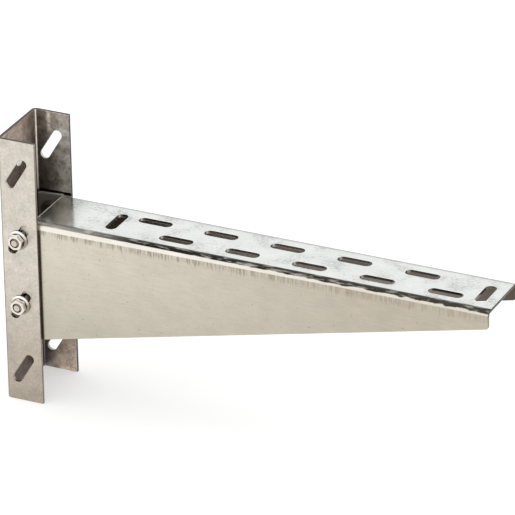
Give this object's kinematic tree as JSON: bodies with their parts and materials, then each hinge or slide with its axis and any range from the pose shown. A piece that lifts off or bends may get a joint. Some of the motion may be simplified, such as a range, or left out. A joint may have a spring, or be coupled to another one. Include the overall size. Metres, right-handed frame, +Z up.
{
  "type": "cantilever strut arm",
  "caption": "Wall bracket for cable tray: a slotted back channel with a tapered, folded and slotted arm bolted between its flanges.",
  "frame": {"origin": "on the wall face of the back channel, at its middle both ways, halfway between the two wall fixing holes", "axes": "+X out from the wall along the arm, +Z up, +Y across the bracket, away from the side that the picture shows"},
  "size_m": [0.3635, 0.0684, 0.2],
  "materials": {
    "galvanised_sheet": "hot dip galvanised, faintly mottled satin",
    "plated_fastener": "zinc plated, satin"
  },
  "bodies": {
    "root": {"back_channel": "galvanised_sheet", "cantilever_arm": "galvanised_sheet", "bolt_front_upper": "plated_fastener", "bolt_front_lower": "plated_fastener", "bolt_rear_upper": "plated_fastener", "bolt_rear_lower": "plated_fastener", "nut_front_upper": "plated_fastener", "nut_front_lower": "plated_fastener", "nut_rear_upper": "plated_fastener", "nut_rear_lower": "plated_fastener"}
  },
  "joints": []
}
